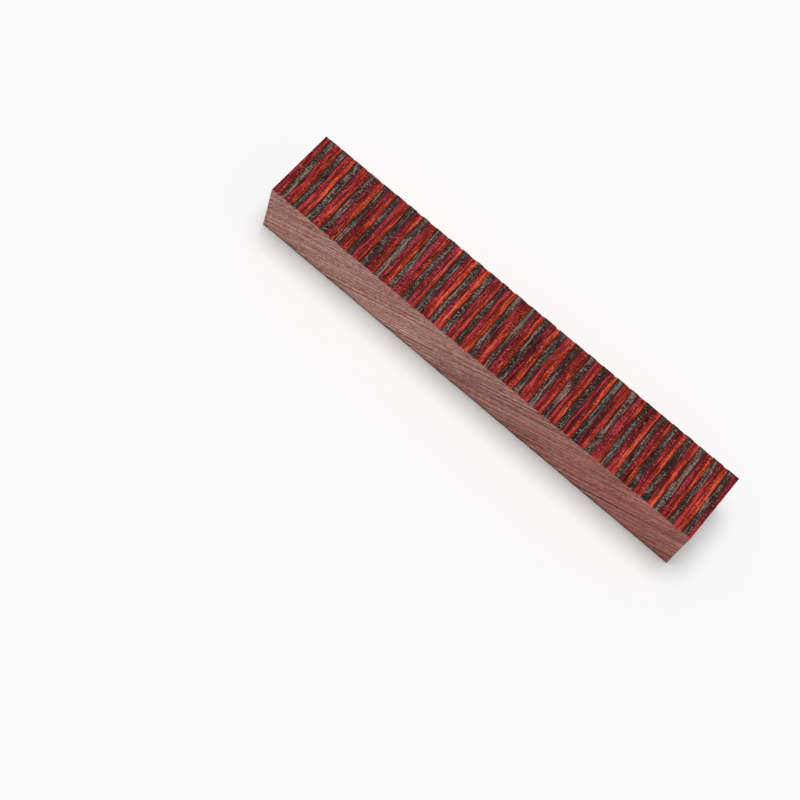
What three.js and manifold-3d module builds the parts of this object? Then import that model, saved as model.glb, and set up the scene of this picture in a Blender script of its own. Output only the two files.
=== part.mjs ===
// Dyed laminated wood block: a bar sawn out of a glued pack of thin dyed veneers. Millimetres, +Z up.
// X runs along the bar, Y across it and Z through its thickness. The origin is at the middle of the
// underside. Grey, crimson and orange veneers follow each other in sets of three. Each set is one solid,
// and the glue line between two sets is left open.

import * as THREE from "three";
import { mergeVertices } from "three/addons/utils/BufferGeometryUtils.js";
import Module from "manifold-3d";

// The sawn bar
const LENGTH = 125;
const WIDTH = 20;
const THICKNESS = 18;

// How the pack stood to the saw: its veneers climb along the bar, and it was turned a little askew
const CLIMB = THREE.MathUtils.degToRad(27);
const SKEW = THREE.MathUtils.degToRad(1.9);

// The pack. Heights in it are square to the veneers, from the middle of the bar's underside
const PACK_TOP = 44.49;
const GLUE = 0.037;
const SOAKED = 0.01; // how far a glued veneer reaches into the one below, which makes the set one solid
const SET = [
  { dye: 0x4b4a47, thickness: 0.695, worn: 0 },
  { dye: 0xa3202f, thickness: 0.517, worn: 0.06 },
  { dye: 0xcc4423, thickness: 0.507, worn: 0.15 },
];

// The press squeezed the veneers unevenly: swells, the longest of them the highest, shift them slowly to
// and fro through the pack, and each glue line is off by a little more
const SWELLS = [
  { height: 0.8, length: 90.66, start: 3.97 },
  { height: 0.165, length: 25.62, start: -2.33 },
  { height: 0.082, length: 12.26, start: 3.12 },
];
const UNEVEN = 0.2;

// What the saw took off a veneer's edges. A set's sides step back from its grey veneer to its orange one,
// on the left less than on the right
const EASED = 0.08; // at the corners of the upper face
const WORN = 0.1; // at most, off the right side, past what is usual for the dye
const CLEAN_CUT = 0.25; // the share of the right side's wear that the left side has
const TORN = 0.4; // at most, at the corners of the underside, where the blade came out
const SLIVER = 0.3; // a set of which this height or less is left falls off the end of the bar

// A number from 0 to 1 that differs from veneer to veneer and is the same on each run. The numbers in it
// only scatter the result
function chance(veneer, what) {
  const wave = Math.sin(veneer * 9.3 + what * 78.2) * 386.2;
  return wave - Math.floor(wave);
}

// Height of the glue line on top of a veneer
function glueLine(veneer) {
  const thickness = (veneers) => veneers.reduce((sum, each) => sum + each.thickness + GLUE, 0);
  const setsAbove = Math.floor(veneer / SET.length);
  const depth = setsAbove * thickness(SET) + thickness(SET.slice(0, veneer % SET.length));
  const shift = SWELLS.reduce(
    (sum, { height, length, start }) => sum + height * Math.sin((2 * Math.PI * depth) / length + start),
    0
  );
  return PACK_TOP - depth - shift - UNEVEN * (chance(veneer, 0) - 0.5);
}

const wasm = await Module();
wasm.setup();

function toSolid(geometry) {
  const bare = geometry.clone();
  bare.deleteAttribute("normal");
  bare.deleteAttribute("uv");
  const merged = mergeVertices(bare, 1e-4);
  const vertProperties = merged.getAttribute("position").array;
  const triVerts = new Uint32Array(merged.index.array);
  return new wasm.Manifold(new wasm.Mesh({ numProp: 3, vertProperties, triVerts }));
}

// The space that the saw leaves a veneer: the bar's square section with this veneer's own worn sides and
// torn lower corners, drawn across the bar and extruded along it
function sawnSpace(veneer) {
  const { worn } = SET[veneer % SET.length];
  const left = -WIDTH / 2 + CLEAN_CUT * (worn + WORN * chance(veneer, 1));
  const right = WIDTH / 2 - worn - WORN * chance(veneer, 2);
  const tornLeft = EASED + TORN * chance(veneer, 3) ** 3;
  const tornRight = EASED + TORN * chance(veneer, 4) ** 3;
  const section = new THREE.Shape()
    .moveTo(left + tornLeft, 0)
    .lineTo(right - tornRight, 0)
    .lineTo(right, tornRight)
    .lineTo(right, THICKNESS - EASED)
    .lineTo(right - EASED, THICKNESS)
    .lineTo(left + EASED, THICKNESS)
    .lineTo(left, THICKNESS - EASED)
    .lineTo(left, tornLeft)
    .closePath();
  const acrossBar = new THREE.Vector3(0, 1, 0);
  const throughBar = new THREE.Vector3(0, 0, 1);
  const alongBar = new THREE.Vector3(1, 0, 0);
  const geometry = new THREE.ExtrudeGeometry(section, { depth: LENGTH, bevelEnabled: false })
    .applyMatrix4(new THREE.Matrix4().makeBasis(acrossBar, throughBar, alongBar))
    .translate(-LENGTH / 2, 0, 0);
  return toSolid(geometry);
}

// One whole sheet of the pack between two heights, wider than the bar needs it, tipped and turned as the
// pack stood to the saw
function sheet(bottom, top) {
  const side = 2 * LENGTH;
  const geometry = new THREE.BoxGeometry(side, side, top - bottom)
    .translate(0, 0, (top + bottom) / 2)
    .rotateY(-CLIMB)
    .rotateZ(SKEW);
  return toSolid(geometry);
}

// Colours each triangle by the veneer that it lies on, given the heights of the veneers' undersides
function dyed(geometry, undersides) {
  const loose = geometry.toNonIndexed();
  const position = loose.getAttribute("position");
  const packUp = new THREE.Vector3(0, 0, 1)
    .applyAxisAngle(new THREE.Vector3(0, 1, 0), -CLIMB)
    .applyAxisAngle(new THREE.Vector3(0, 0, 1), SKEW);
  const colours = [];
  for (let corner = 0; corner < position.count; corner += 3) {
    const middle = new THREE.Vector3();
    for (let i = 0; i < 3; i++) {
      middle.add(new THREE.Vector3().fromBufferAttribute(position, corner + i));
    }
    const height = middle.divideScalar(3).dot(packUp);
    const place = undersides.findIndex((underside) => height > underside);
    const dye = new THREE.Color(SET[place < 0 ? SET.length - 1 : place].dye);
    colours.push(...dye, ...dye, ...dye);
  }
  loose.setAttribute("color", new THREE.Float32BufferAttribute(colours, 3));
  loose.computeVertexNormals();
  return loose;
}

function toMesh(solid, undersides) {
  const { vertProperties, triVerts } = solid.getMesh();
  const geometry = new THREE.BufferGeometry()
    .setAttribute("position", new THREE.Float32BufferAttribute(vertProperties, 3))
    .setIndex(new THREE.Uint32BufferAttribute(triVerts, 1));
  const material = new THREE.MeshStandardMaterial({ vertexColors: true, roughness: 0.55, metalness: 0 });
  return new THREE.Mesh(dyed(geometry, undersides), material);
}

// The set of veneers that starts with this one, without those that the saw left nothing of
function veneerSet(first) {
  const solids = [];
  const undersides = [];
  for (let veneer = first; veneer < first + SET.length; veneer++) {
    const top = glueLine(veneer) - GLUE / 2;
    const underside = glueLine(veneer + 1) + GLUE / 2;
    const last = veneer === first + SET.length - 1;
    const glued = last ? underside : underside - GLUE - SOAKED;
    const solid = sheet(glued, top).intersect(sawnSpace(veneer));
    if (!solid.isEmpty()) {
      solids.push(solid);
    }
    undersides.push(glueLine(veneer + 1));
  }
  return toMesh(solids.reduce((joined, solid) => joined.add(solid)), undersides);
}

const block = new THREE.Group();
const cornerDepth = (LENGTH / 2) * Math.cos(SKEW) + (WIDTH / 2) * Math.sin(SKEW);
const lowestCorner = -cornerDepth * Math.sin(CLIMB);
for (let set = 0; glueLine(set * SET.length) > lowestCorner + SLIVER; set++) {
  const mesh = veneerSet(set * SET.length);
  mesh.name = "veneer_set_" + String(set + 1).padStart(2, "0");
  block.add(mesh);
}

export default block;
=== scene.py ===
import math

import bpy
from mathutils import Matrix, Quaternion, Vector


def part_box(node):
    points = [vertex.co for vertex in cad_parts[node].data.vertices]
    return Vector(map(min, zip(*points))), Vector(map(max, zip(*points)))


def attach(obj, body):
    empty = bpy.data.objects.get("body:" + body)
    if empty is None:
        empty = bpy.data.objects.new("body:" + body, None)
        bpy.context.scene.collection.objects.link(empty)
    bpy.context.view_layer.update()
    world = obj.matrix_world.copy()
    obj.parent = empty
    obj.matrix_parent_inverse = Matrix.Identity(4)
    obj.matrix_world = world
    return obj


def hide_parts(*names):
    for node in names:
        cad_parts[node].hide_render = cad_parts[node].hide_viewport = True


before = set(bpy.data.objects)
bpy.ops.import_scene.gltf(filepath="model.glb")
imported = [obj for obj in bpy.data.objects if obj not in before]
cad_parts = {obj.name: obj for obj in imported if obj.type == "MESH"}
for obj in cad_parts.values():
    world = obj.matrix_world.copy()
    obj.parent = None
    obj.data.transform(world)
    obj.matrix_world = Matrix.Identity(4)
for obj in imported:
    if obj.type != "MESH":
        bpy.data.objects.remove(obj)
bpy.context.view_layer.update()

# THE DYES
# Birch veneers steeped right through in one of three dyes: grey, crimson or orange. Each finish is solid
# wood, so its grain runs on from the upper face into the sides and the ends: long fibres that climb along
# the bar, thin growth layers, open pores, and dark rims where glue and dye gathered between two veneers.

LENGTH = 0.125
WIDTH = 0.020
THICKNESS = 0.018
CLIMB = math.radians(27)  # the slope of the veneers along the bar
SKEW = math.radians(1.9)  # the pack stood a little askew to the saw


class Wire:
    """One output of a finish's nodes, on which sums are written as in Python."""

    def __init__(self, finish, socket):
        self.finish = finish
        self.socket = socket

    def worked(self, operation, *values):
        return self.finish.node("ShaderNodeMath", {"operation": operation}, dict(enumerate(values)))

    def __add__(self, other):
        return self.worked("ADD", self, other)

    def __radd__(self, other):
        return self.worked("ADD", other, self)

    def __sub__(self, other):
        return self.worked("SUBTRACT", self, other)

    def __rsub__(self, other):
        return self.worked("SUBTRACT", other, self)

    def __mul__(self, other):
        return self.worked("MULTIPLY", self, other)

    def __rmul__(self, other):
        return self.worked("MULTIPLY", other, self)

    def __abs__(self):
        return self.worked("ABSOLUTE", self)


class Finish:
    """A material whose nodes are added one call at a time."""

    def __init__(self, name):
        self.material = bpy.data.materials.new(name)
        self.material.use_nodes = True
        self.tree = self.material.node_tree
        self.surface = self.tree.nodes["Principled BSDF"]

    def feed(self, socket, value):
        if isinstance(value, Wire):
            self.tree.links.new(value.socket, socket)
        else:
            socket.default_value = value

    def node(self, kind, settings=None, values=None, output=0):
        made = self.tree.nodes.new(kind)
        for setting, value in (settings or {}).items():
            if setting == "stops":
                self.lay_out(made.color_ramp.elements, value)
            else:
                setattr(made, setting, value)
        for socket, value in (values or {}).items():
            self.feed(made.inputs[socket], value)
        return Wire(self, made.outputs[output])

    def lay_out(self, elements, stops):
        """Gives a ramp its colours at even steps."""
        while len(elements) < len(stops):
            elements.new(0.5)
        for step, (element, colour) in enumerate(zip(elements, stops)):
            element.position = step / (len(stops) - 1)
            element.color = colour

    def ramp(self, wire, stops):
        """A colour between the stops, the first one where the wire is 0 and the last one where it is 1."""
        return self.node("ShaderNodeValToRGB", {"stops": stops}, {"Fac": wire})

    def from_to(self, wire, low, high, first=0.0, last=1.0):
        """Passes smoothly from first to last while the wire goes from low to high."""
        return self.node(
            "ShaderNodeMapRange",
            {"interpolation_type": "SMOOTHSTEP"},
            {"Value": wire, "From Min": low, "From Max": high, "To Min": first, "To Max": last},
        )

    def mixed(self, share, first, second, blend="MIX"):
        return self.node(
            "ShaderNodeMix",
            {"data_type": "RGBA", "blend_type": blend},
            {0: share, 6: first, 7: second},
            output=2,
        )

    def shaded(self, **values):
        for name, value in values.items():
            self.feed(self.surface.inputs[name.replace("_", " ")], value)


LOTS = 60  # how far apart the figures of two veneers can lie


class Wood(Finish):
    """A veneer's wood: where a point of it lies, which way it was cut, and the figure that grew there."""

    def __init__(self, name):
        super().__init__(name)
        self.here = self.node("ShaderNodeTexCoord", output="Object")
        self.along, self.across, self.above = (
            self.node("ShaderNodeSeparateXYZ", values={"Vector": self.here}, output=axis) for axis in "XYZ"
        )
        self.side = self.cut_square_to((0, 1, 0))
        self.end_grain = self.cut_square_to((1, 0, 0))

        # Places in the pack: along the grain, across it, and up through the veneers
        self.place = self.turned((0.0, -CLIMB, SKEW))
        self.lot = self.own("lot") * LOTS
        self.patches = self.figure(self.place, (24, 6, 0.8), self.lot)
        self.fibres = self.figure(self.place, (5, 0.13, 0.3), self.lot)
        self.ringed = self.bent((14, 9, 6), 0.0012, self.lot)
        self.layers = self.figure(self.ringed, (22, 8, 0.15), self.lot)

        # What runs on from veneer to veneer
        self.curled = self.bent((40, 12, 9), 0.002)
        self.threads = self.figure(self.curled, (45, 9, 0.11), detail=2.0)
        self.drift = self.figure(self.place, (70, 40, 30), 3.0, detail=0.0)

    def own(self, attribute):
        """What a piece's mesh says of each of its faces or points."""
        return self.node("ShaderNodeAttribute", {"attribute_name": attribute}, output="Fac")

    def cut_square_to(self, axis):
        """1 on the faces that were cut square to this axis, 0 on the others."""
        facing = self.node("ShaderNodeNewGeometry", output="Normal")
        along_it = self.node(
            "ShaderNodeVectorMath", {"operation": "DOT_PRODUCT"}, {0: facing, 1: axis}, output="Value"
        )
        return self.from_to(abs(along_it), 0.7, 0.95)

    def turned(self, rotation):
        """Places as they are seen from axes that are turned by this."""
        return self.node(
            "ShaderNodeMapping", {"vector_type": "TEXTURE"}, {"Vector": self.here, "Rotation": rotation}
        )

    def figure(self, place, size, shift=0.0, detail=1.0):
        """Cloudy figure from 0 to 1, with clouds of this size in millimetres: along the grain, across it
        and through the veneers. Another shift gives another figure."""
        stretched = self.node(
            "ShaderNodeVectorMath",
            {"operation": "MULTIPLY"},
            {0: place, 1: tuple(1000 / length for length in size)},
        )
        return self.node(
            "ShaderNodeTexNoise",
            {"noise_dimensions": "4D"},
            {"Vector": stretched, "W": shift, "Scale": 1.0, "Detail": detail, "Roughness": 0.6},
        )

    def bent(self, size, reach, shift=0.0):
        """Places in the pack, moved up and down through it in clouds of this size, within this reach."""
        bend = (self.figure(self.place, size, shift) - 0.5) * reach
        lift = self.node("ShaderNodeCombineXYZ", values={"Z": bend})
        return self.node("ShaderNodeVectorMath", {"operation": "ADD"}, {0: self.place, 1: lift})

    def veins(self, figure, level, outside, inside, strength=1.0):
        """Thin lines where the figure passes this level."""
        return self.from_to(abs(figure - level), outside, inside, 0.0, strength)


def steeped(wood, grain, streaks, dyes):
    """How much dye the wood took up, and what colour it has from that: by patches, by growth layers, and by
    fibres, which the slanting cut shows as short dashes on the upper face."""
    coarse = wood.figure(wood.place, (20, 3, 0.6), wood.lot + 6, detail=0.0)
    grained = (wood.fibres - 0.5) * wood.from_to(coarse, 0.35, 0.65, 0.6, 1.5) * grain
    streaked = (wood.layers - 0.5) * streaks
    uptake = 0.5 + (wood.patches - 0.5) + streaked + grained + wood.own("tone") * 0.15
    return uptake, wood.ramp(uptake, dyes)


def tinted(wood, colour, cool, warm):
    """Patches that lean to a cooler or a warmer tint."""
    tints = wood.figure(wood.place, (12, 4, 0.3), wood.lot + 3) + (wood.lot - LOTS / 2) * 0.0025
    colour = wood.mixed(wood.from_to(tints, 0.50, 0.38), colour, cool, "MULTIPLY")
    return wood.mixed(wood.from_to(tints, 0.50, 0.62), colour, warm, "MULTIPLY")


def lined(wood, colour, dark, pale, fleck):
    """Dark growth rings, pale hairlines, and dashes that took no dye."""
    rings = wood.figure(wood.ringed, (30, 12, 0.22), wood.lot + 5)
    ring = wood.veins(rings, 0.5, 0.03, 0.008) * wood.from_to(wood.patches, 0.6, 0.4, 0.2, 0.85)
    colour = wood.mixed(ring, colour, dark)
    hairs = wood.figure(wood.ringed, (40, 9, 0.17), wood.lot + 8)
    hair = wood.veins(hairs, 0.56, 0.02, 0.0) * wood.from_to(wood.fibres, 0.4, 0.6, 0.0, 0.6)
    colour = wood.mixed(hair, colour, pale)
    dashes = wood.figure(wood.place, (2.5, 0.2, 0.2), wood.lot + 9, detail=0.0)
    flecks = wood.from_to(dashes + wood.own("flecked") * 0.07, 0.66, 0.76, 0.0, 0.7)
    return wood.mixed(flecks, colour, fleck)


def rimmed(wood, colour, thickness, upper_rim, lower_rim):
    """The rims along the glue, ragged where the fibres break out, here wide and there missing."""
    wander = wood.figure(wood.place, (20, 5, 0.5), wood.lot + 12)
    ragged = (wood.fibres - 0.5) * 0.2 + (wander - 0.5) * 0.6
    depth = wood.node("ShaderNodeMath", {"operation": "FRACT"}, {0: wood.own("through")}) * thickness
    for (width, rim), from_glue in ((upper_rim, depth), (lower_rim, thickness - depth)):
        colour = wood.mixed(wood.from_to(from_glue + ragged, width * 0.4, width), rim, colour)
    return colour


# Pale sawdust on the sides, from the darkest to the palest; the pale is partly a painted reflection of the
# white floor
DUST_AND_REFLECTION = (
    (0.29, 0.085, 0.064, 1),
    (0.52, 0.182, 0.145, 1),
    (0.74, 0.335, 0.287, 1),
    (0.85, 0.490, 0.425, 1),
    (0.92, 0.700, 0.600, 1),
)
# Painted shade: the tint that makes the dust redder towards the right end
PAINTED_SHADE_TINT = (1.24, 0.93, 0.9, 1)
SPLINTER = (0.85, 0.58, 0.42, 1)
# Painted shade: the dark of the splinters' shadows, of the far upper edge and of the lower edges
PAINTED_SHADE = (0.035, 0.016, 0.012, 1)


def dust_and_painted_light(wood, colour, dust_and_reflection_tint):
    """The sides: fibres cut lengthwise hold pale dust from the saw in long threads, its pale partly a
    painted reflection of the white floor. Painted shade makes it less pale and redder towards the right
    end. Long splinters lie half torn loose, each with a painted shadow."""
    # Painted light: from the left to the right end the dust turns less pale and redder, painted shade
    painted_shade_to_right = wood.from_to(wood.along, -0.01, 0.055)
    splinters = wood.figure(wood.curled, (60, 9, 0.4), 5.0, detail=0.0)
    bare = wood.veins(splinters, 0.42, 0.04, 0.01)
    fuzz = wood.figure(wood.place, (0.9, 0.5, 0.25), detail=0.0)
    paleness = 0.5 + (wood.threads - 0.5) * 3.2 + (fuzz - 0.5) * 1.8 + (wood.drift - 0.5) * 0.3
    # The dust, its pale partly a painted reflection of the white floor
    dust_and_reflection = wood.mixed(1.0, wood.ramp(paleness, DUST_AND_REFLECTION), dust_and_reflection_tint, "MULTIPLY")
    dust_and_reflection = wood.mixed(painted_shade_to_right, dust_and_reflection, PAINTED_SHADE_TINT, "MULTIPLY")
    laid = 0.64 + (wood.threads - 0.5) * 1.4 + (wood.patches - 0.5) * 0.7 + (wood.drift - 0.5) * 0.5
    colour = wood.mixed(wood.side * (laid - bare * 0.4 - painted_shade_to_right * 0.17), colour, dust_and_reflection)
    # Painted shadow along each splinter
    colour = wood.mixed(wood.side * wood.veins(splinters, 0.56, 0.02, 0.004, 0.35), colour, PAINTED_SHADE)
    return wood.mixed(wood.side * wood.veins(splinters, 0.59, 0.02, 0.004, 0.6), colour, SPLINTER)


SMEAR = (
    (0.09, 0.052, 0.047, 1),
    (0.18, 0.118, 0.108, 1),
    (0.28, 0.205, 0.192, 1),
    (0.42, 0.345, 0.325, 1),
)


def smeared(wood, colour):
    """The ends: fibres cut across are smeared grey by the saw, with its marks running down them."""
    marks = wood.figure(wood.turned((math.radians(12), 0.0, 0.0)), (4, 0.22, 14), 7.0)
    smear = 0.5 + (marks - 0.5) * 2.2 + (wood.fibres - 0.5) * 0.8 + (wood.drift - 0.5) * 0.8
    laid = 0.72 + (marks - 0.5) * 0.9 + (wood.patches - 0.5) * 0.5
    return wood.mixed(wood.end_grain * laid, colour, wood.ramp(smear, SMEAR))


RUBBED = (0.55, 0.30, 0.24, 1)


def rubbed_and_shaded_edges(wood, colour):
    """The edges: the near upper one is rubbed pale. The far upper one has a painted shadow, and the lower
    ones are darkened with painted shade where they meet the floor."""
    upper_edge = THICKNESS + WIDTH / 2
    lower_edge = WIDTH / 2
    near = wood.from_to(wood.above - wood.across, upper_edge - 0.00035, upper_edge - 0.00005)
    colour = wood.mixed(near * wood.from_to(wood.fibres, 0.4, 0.6, 0.1, 0.8), colour, RUBBED)
    # Painted shade along the lower edges, where they meet the floor
    lower = wood.from_to(abs(wood.across) - wood.above, lower_edge - 0.0009, lower_edge - 0.0004)
    colour = wood.mixed(lower * wood.from_to(wood.threads, 0.4, 0.6, 0.9, 0.5), colour, PAINTED_SHADE)
    # Painted shadow on the far upper edge
    far = wood.from_to(wood.above + wood.across, upper_edge - 0.0004, upper_edge - 0.0001)
    return wood.mixed(far * wood.from_to(wood.fibres, 0.35, 0.6, 0.85, 0.4), colour, PAINTED_SHADE)


def dyed_veneer(name, thickness, upper_rim, lower_rim, grain, streaks, dyes, cool, warm, fleck, dust_and_reflection_tint):
    """A dyed veneer, with its thickness in millimetres, and the width and colour of its rims, where the dye
    of its neighbour crept in with the glue. Grain and streaks say how strongly its fibres and its layers
    show. Its dyes run from the deepest pore to the palest layer, cool and warm are what its patches are
    tinted with, fleck is the colour of its undyed dashes, and the last colour tints the dust on its sides,
    whose pale is partly a painted reflection of the white floor. All colours are linear."""
    wood = Wood(name)
    uptake, colour = steeped(wood, grain, streaks, dyes)
    colour = tinted(wood, colour, cool, warm)
    colour = lined(wood, colour, dyes[0], dyes[-1], fleck)
    colour = rimmed(wood, colour, thickness, upper_rim, lower_rim)
    colour = dust_and_painted_light(wood, colour, dust_and_reflection_tint)
    colour = smeared(wood, colour)
    colour = rubbed_and_shaded_edges(wood, colour)
    height = wood.fibres * 0.6 + wood.layers * 0.25
    wood.shaded(
        Base_Color=colour,
        Roughness=0.75 - uptake * 0.2 + wood.end_grain * 0.1,
        Specular_IOR_Level=0.06,
        Sheen_Weight=0.04,
        Sheen_Roughness=0.4,
        Normal=wood.node("ShaderNodeBump", values={"Height": height, "Distance": 0.00005, "Strength": 0.8}),
    )
    return wood.material


grey_veneer = dyed_veneer(
    "grey_dyed_veneer",
    thickness=0.695,
    upper_rim=(0.16, (0.045, 0.010, 0.007, 1)),
    lower_rim=(0.12, (0.060, 0.011, 0.010, 1)),
    grain=2.2,
    streaks=2.4,
    dyes=(
        (0.011, 0.004, 0.003, 1),
        (0.021, 0.009, 0.007, 1),
        (0.034, 0.020, 0.017, 1),
        (0.071, 0.046, 0.040, 1),
        (0.24, 0.16, 0.135, 1),
    ),
    cool=(0.72, 1.08, 1.05, 1),
    warm=(1.25, 0.97, 0.84, 1),
    fleck=(0.30, 0.21, 0.19, 1),
    dust_and_reflection_tint=(0.94, 1.08, 1.08, 1),
)
crimson_veneer = dyed_veneer(
    "crimson_dyed_veneer",
    thickness=0.517,
    upper_rim=(0.06, (0.065, 0.009, 0.010, 1)),
    lower_rim=(0.08, (0.075, 0.008, 0.007, 1)),
    grain=1.9,
    streaks=2.6,
    dyes=(
        (0.030, 0.002, 0.002, 1),
        (0.088, 0.005, 0.006, 1),
        (0.166, 0.009, 0.011, 1),
        (0.255, 0.013, 0.017, 1),
        (0.36, 0.032, 0.040, 1),
    ),
    cool=(0.92, 1.0, 1.7, 1),
    warm=(1.15, 1.3, 0.8, 1),
    fleck=(0.50, 0.14, 0.14, 1),
    dust_and_reflection_tint=(1.0, 0.88, 0.94, 1),
)
orange_veneer = dyed_veneer(
    "orange_dyed_veneer",
    thickness=0.507,
    upper_rim=(0.10, (0.140, 0.011, 0.009, 1)),
    lower_rim=(0.05, (0.070, 0.016, 0.011, 1)),
    grain=1.6,
    streaks=2.2,
    dyes=(
        (0.045, 0.002, 0.001, 1),
        (0.13, 0.009, 0.004, 1),
        (0.255, 0.018, 0.009, 1),
        (0.41, 0.036, 0.016, 1),
        (0.60, 0.10, 0.055, 1),
    ),
    cool=(0.8, 0.55, 0.95, 1),
    warm=(1.15, 1.35, 0.8, 1),
    fleck=(0.63, 0.15, 0.075, 1),
    dust_and_reflection_tint=(1.05, 0.96, 0.88, 1),
)


# THE VENEER SETS
# Grey, crimson and orange veneers follow each other in sets of three. The pack was glued and pressed,
# which left it slightly wavy, and the bar was then sawn out of it at a slope. The saw left a fine nap on
# the faces and tore the softer veneers back a little at the edges.

VENEERS = (0.000695, 0.000517, 0.000507)
GLUE = 0.000037
GLUED = 0.0000235  # how far below a glue line's middle one veneer of a set passes into the next
PACK_TOP = 0.04449  # heights are square to the veneers, from the middle of the bar's underside

# Each swell's height, length and start, and how much a glue line is off besides
SWELLS = ((0.0008, 0.09066, 3.97), (0.000165, 0.02562, -2.33), (0.000082, 0.01226, 3.12))
UNEVEN = 0.0002
UP_THROUGH = Vector((
    -math.sin(CLIMB) * math.cos(SKEW),
    -math.sin(CLIMB) * math.sin(SKEW),
    math.cos(CLIMB),
))


def chance(veneer, what):
    """The same scatter from 0 to 1 that the sawn solids have."""
    wave = math.sin(veneer * 9.3 + what * 78.2) * 386.2
    return wave - math.floor(wave)


def glue_line(veneer):
    """Height of the glue line on top of a veneer."""
    sets, left = divmod(veneer, len(VENEERS))
    depth = sets * (sum(VENEERS) + len(VENEERS) * GLUE) + sum(VENEERS[:left]) + left * GLUE
    shift = sum(height * math.sin(2 * math.pi * depth / length + start) for height, length, start in SWELLS)
    return PACK_TOP - depth - shift - UNEVEN * (chance(veneer, 0) - 0.5)


# Where a veneer's own lines lie in its thickness, how far apart the lines across and along the bar are, and
# how thin a sliver between two lines closes up
LINES_IN_A_VENEER = (0.1, 0.37, 0.63, 0.9)
LINES_ACROSS = 0.002
LINES_ALONG = 0.0005
SLIVER = 0.000001


def cut(at, square_to):
    """Draws the line of a plane on the piece."""
    bpy.ops.mesh.select_all(action="SELECT")
    bpy.ops.mesh.bisect(plane_co=at, plane_no=square_to, threshold=1e-7)


def ruled(piece, lines, left, right):
    """Rules the piece finely, so that it can be shaped: within each veneer and along the glue, then along
    and across the bar."""
    bpy.ops.object.select_all(action="DESELECT")
    piece.select_set(True)
    bpy.context.view_layer.objects.active = piece
    bpy.ops.mesh.customdata_custom_splitnormals_clear()
    bpy.ops.object.mode_set(mode="EDIT")
    bpy.ops.mesh.select_all(action="SELECT")
    bpy.ops.mesh.remove_doubles(threshold=2 * SLIVER)
    bpy.ops.mesh.dissolve_limited(angle_limit=math.radians(0.5))
    heights = []
    for upper, lower in zip(lines, lines[1:]):
        heights += [upper + (lower - upper) * share for share in LINES_IN_A_VENEER]
    heights += [line - GLUED for line in lines[1:-1]]
    for height in heights:
        cut(UP_THROUGH * height, UP_THROUGH)
    half = round(WIDTH / 2 / LINES_ALONG)
    for step in range(1 - half, half):
        cut((0, step * LINES_ALONG, 0), (0, 1, 0))
    for step in range(math.ceil(left / LINES_ACROSS), math.ceil(right / LINES_ACROSS)):
        cut((step * LINES_ACROSS, 0, 0), (1, 0, 0))
    bpy.ops.mesh.select_all(action="SELECT")
    bpy.ops.mesh.dissolve_degenerate(threshold=SLIVER)
    bpy.ops.mesh.select_all(action="SELECT")
    bpy.ops.mesh.delete_loose()
    bpy.ops.object.mode_set(mode="OBJECT")


# Sets in which a veneer differs plainly from the others of its dye
LIGHT_GREY = (9, 10, 13, 18, 26, 29)
BLACK = (3, 5, 15, 22, 27, 28)
BRIGHT_CRIMSON = (2, 3, 4, 7, 10, 11, 13, 15, 16, 19, 24, 29, 30)
MAROON = (5, 6, 8, 17, 18, 22, 23, 25, 26, 27)
BRIGHT_ORANGE = (3, 11, 12, 13, 18, 19, 25, 27)
BROWN = (1, 2, 5, 9, 16, 20, 21, 29)
FLECKED = (4, 5, 9, 10, 11, 13, 14, 17, 24, 29)
FLECKS = (0.8, 0.5, 0.2)  # how many a grey, crimson or orange veneer of these sets has


def steeped_in_dyes(piece, number, lines):
    """Gives each face the finish and the lot of its veneer, and each point its place through the veneer."""
    mesh = piece.data
    mesh.materials.clear()
    for finish in (grey_veneer, crimson_veneer, orange_veneer):
        mesh.materials.append(finish)
    through = mesh.attributes.new("through", "FLOAT", "POINT")
    for point in mesh.vertices:
        height = point.co.dot(UP_THROUGH)
        place = sum(height < line for line in lines[1:-1])
        share = (lines[place] - height) / (lines[place] - lines[place + 1])
        through.data[point.index].value = place + min(max(share, 0), 1)

    first = len(VENEERS) * (number - 1)
    tones = [
        (number in bright) - (number in dark) + 0.3 * (chance(first + dye, 5) - 0.5)
        for dye, (bright, dark) in enumerate(
            ((LIGHT_GREY, BLACK), (BRIGHT_CRIMSON, MAROON), (BRIGHT_ORANGE, BROWN))
        )
    ]
    lot, tone, flecked = (mesh.attributes.new(name, "FLOAT", "FACE") for name in ("lot", "tone", "flecked"))
    for face in mesh.polygons:
        dye = sum(face.center.dot(UP_THROUGH) < line - GLUED for line in lines[1:-1])
        face.material_index = dye
        lot.data[face.index].value = chance(first + dye, 6)
        tone.data[face.index].value = tones[dye]
        flecked.data[face.index].value = FLECKS[dye] if number in FLECKED else 0.0


def clouds(name, size, depth):
    """A texture with clouds of this size."""
    made = bpy.data.textures.new(name, "CLOUDS")
    made.noise_scale = size
    made.noise_depth = depth
    return made


press_waves = clouds("press_waves", 0.014, 1)
kinks = clouds("kinks", 0.0013, 2)
saw_nap = clouds("saw_nap", 0.0007, 1)

WAVES = 0.0005  # from the highest to the lowest, as the kinks
KINKS = 0.00012
FLAT_ENDS = 0.0015  # the waves and the kinks die out this close to the ends
NAP = 0.00008  # at most, on the sides and the ends; half of it on the upper and lower faces
HOLLOW = 0.00009  # how deep it is right on a glue line
HOLLOW_REACH = 0.00005  # how wide it is to each side of the line
SKIN = 0.0001  # what lies less deep than this belongs to a face

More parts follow.
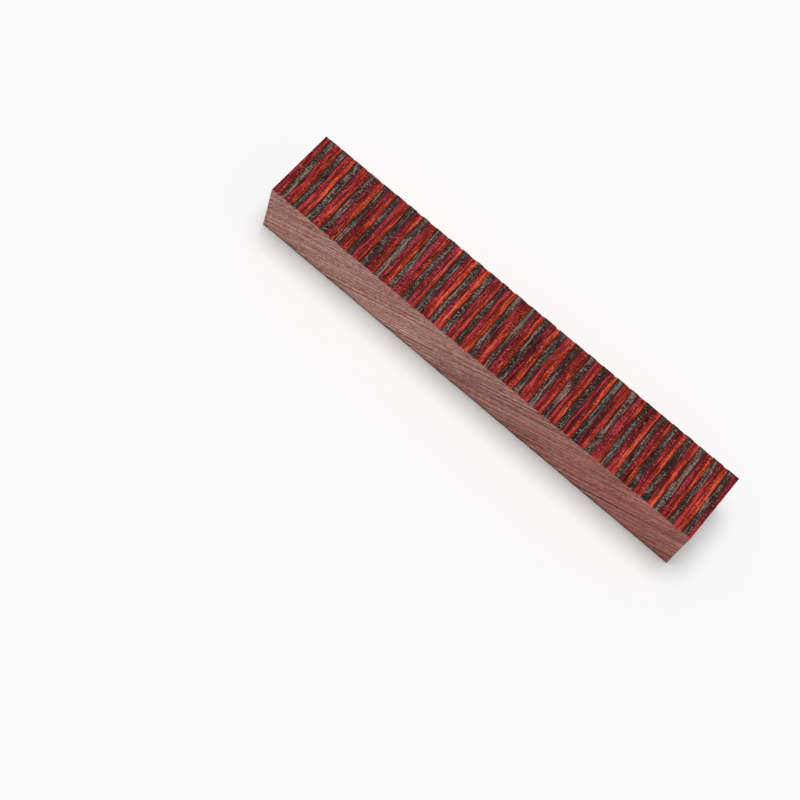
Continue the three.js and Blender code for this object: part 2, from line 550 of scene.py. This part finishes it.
# For each face of the bar: the axis of its nap and how far that reaches in, how far within the bar's own
# size a veneer's edge can lie there, and how deep a point lies below the face
FACES = {
    "near": ("Y", NAP, 0.0003, lambda at: WIDTH / 2 + at.y),
    "far": ("Y", -NAP, 0.0003, lambda at: WIDTH / 2 - at.y),
    "upper": ("Z", -NAP / 2, 0.0001, lambda at: THICKNESS - at.z),
    "lower": ("Z", NAP / 2, 0.0001, lambda at: at.z),
    "left": ("X", NAP, 0, lambda at: LENGTH / 2 + at.x),
    "right": ("X", -NAP, 0, lambda at: LENGTH / 2 - at.x),
}


def pushed(piece, name, share_at, direction, strength, level, texture=None):
    """Moves each point by the texture, or evenly without one, as far as its share says."""
    group = piece.vertex_groups.new(name=name)
    for point in piece.data.vertices:
        group.add([point.index], min(max(share_at(point.co), 0), 1), "REPLACE")
    push = piece.modifiers.new(name, "DISPLACE")
    push.vertex_group = name
    push.direction = direction
    push.strength = strength
    push.mid_level = level
    push.texture = texture
    push.texture_coords = "LOCAL"
    bpy.ops.object.modifier_apply(modifier=name)


def pressed_and_sawn(piece, lines):
    """Wavy from the press, napped by the saw, and hollow along the glue on the upper and lower faces."""

    def from_the_ends(at):
        return (LENGTH / 2 - abs(at.x)) / FLAT_ENDS

    def by_the_glue(at):
        height = at.dot(UP_THROUGH)
        return max(1 - abs(height - line) / HOLLOW_REACH for line in lines)

    pushed(piece, "waves", from_the_ends, "X", WAVES, 0.5, press_waves)
    pushed(piece, "kinks", from_the_ends, "X", KINKS, 0.5, kinks)
    for name, (axis, nap, within, depth) in FACES.items():
        pushed(piece, f"{name}_nap", lambda at: (within + SKIN - depth(at)) / SKIN, axis, nap, 0, saw_nap)
    for name, hollow in (("upper", -HOLLOW), ("lower", HOLLOW)):
        depth = FACES[name][-1]
        pushed(piece, f"{name}_hollows", lambda at: by_the_glue(at) * (depth(at) < SKIN), "Z", hollow, 0)
    bpy.ops.object.shade_smooth_by_angle(angle=math.radians(35))


for number, node in enumerate(sorted(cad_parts), start=1):
    first = len(VENEERS) * (number - 1)
    lines = [glue_line(veneer) for veneer in range(first, first + len(VENEERS) + 1)]
    low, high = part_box(node)
    piece = bpy.data.objects.new(f"dyed_set_{number:02d}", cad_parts[node].data.copy())
    bpy.context.collection.objects.link(piece)
    ruled(piece, lines, low.x, high.x)
    steeped_in_dyes(piece, number, lines)
    pressed_and_sawn(piece, lines)
    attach(piece, "root")
    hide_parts(node)


# THE FLOOR, LIGHT AND CAMERA
# A wide sheet of white paper, one soft light high up on the far left, and a pale room. The camera looks
# down steeply from beyond the near side, a little to the right.

bpy.ops.object.select_all(action="DESELECT")
bpy.ops.mesh.primitive_plane_add(size=6, location=(0, 0, 0))
floor = bpy.context.object
floor.name = "floor"
paper = Finish("white_paper")
paper.shaded(Base_Color=(0.77, 0.77, 0.77, 1), Roughness=0.9, Specular_IOR_Level=0.1)
floor.data.materials.append(paper.material)

lamp = bpy.data.lights.new("soft_light", "SUN")
lamp.energy = 3.1
lamp.angle = math.radians(38)
light = bpy.data.objects.new("soft_light", lamp)
light.rotation_euler = Vector((0.07, -0.06, -1)).to_track_quat("-Z", "Y").to_euler()
bpy.context.collection.objects.link(light)

room = bpy.data.worlds.new("pale_room")
room.use_nodes = True
room.node_tree.nodes["Background"].inputs["Color"].default_value = (1, 1, 1, 1)
room.node_tree.nodes["Background"].inputs["Strength"].default_value = 0.26
bpy.context.scene.world = room
bpy.context.scene.view_settings.view_transform = "Standard"

view = bpy.data.cameras.new("camera")
view.lens = 91.21
view.sensor_width = 36
view.clip_start = 0.01
camera = bpy.data.objects.new("camera", view)
camera.location = (0.04424, -0.20855, 0.43370)
towards = Vector((-0.00930, -0.02192, 0)) - camera.location
roll = Quaternion((0, 0, 1), math.radians(25.51))
camera.rotation_euler = (towards.to_track_quat("-Z", "Y") @ roll).to_euler()
bpy.context.collection.objects.link(camera)
bpy.context.scene.camera = camera
